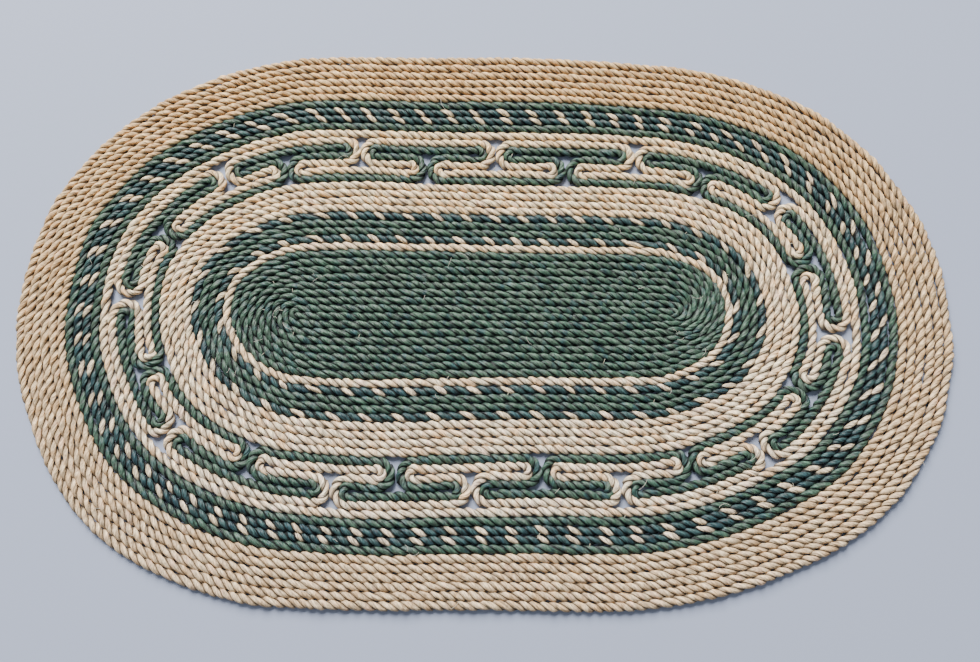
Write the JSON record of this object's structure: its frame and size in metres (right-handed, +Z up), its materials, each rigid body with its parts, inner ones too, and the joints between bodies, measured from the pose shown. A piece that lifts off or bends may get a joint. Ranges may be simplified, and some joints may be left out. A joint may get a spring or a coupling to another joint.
{
  "type": "oval floor rug of coiled twisted cord",
  "caption": "Flat oval floor rug of twisted plant-fibre cord sewn edge to edge in rounds, with checked rounds and a key pattern band between a green middle and a cream border.",
  "frame": {"origin": "middle of the rug's outline, on the underside that lies on the floor", "axes": "+X along the long way, +Y across it, +Z up from the floor through the rug"},
  "size_m": [0.7993, 0.4887, 0.0062],
  "materials": {
    "undyed_cord": "dry matt twisted plant fibre, undyed cream",
    "aged_cord": "dry matt twisted plant fibre, undyed and yellowed with age",
    "green_cord": "twisted plant fibre, dyed grey green, slight sheen",
    "mixed_cord": "twisted plant fibre, one undyed ply laid with two blue green ones"
  },
  "bodies": {
    "root": {"centre_coil": "green_cord", "inner_cream_round": "undyed_cord", "inner_check_round": "mixed_cord", "inner_green_rounds": "green_cord", "middle_check_round": "mixed_cord", "middle_cream_rounds": "undyed_cord", "key_cord_green": "green_cord", "key_cord_cream": "undyed_cord", "outer_cream_round": "undyed_cord", "outer_green_round": "green_cord", "outer_check_rounds": "mixed_cord", "edge_green_round": "green_cord", "border_rounds": "aged_cord"}
  },
  "joints": []
}
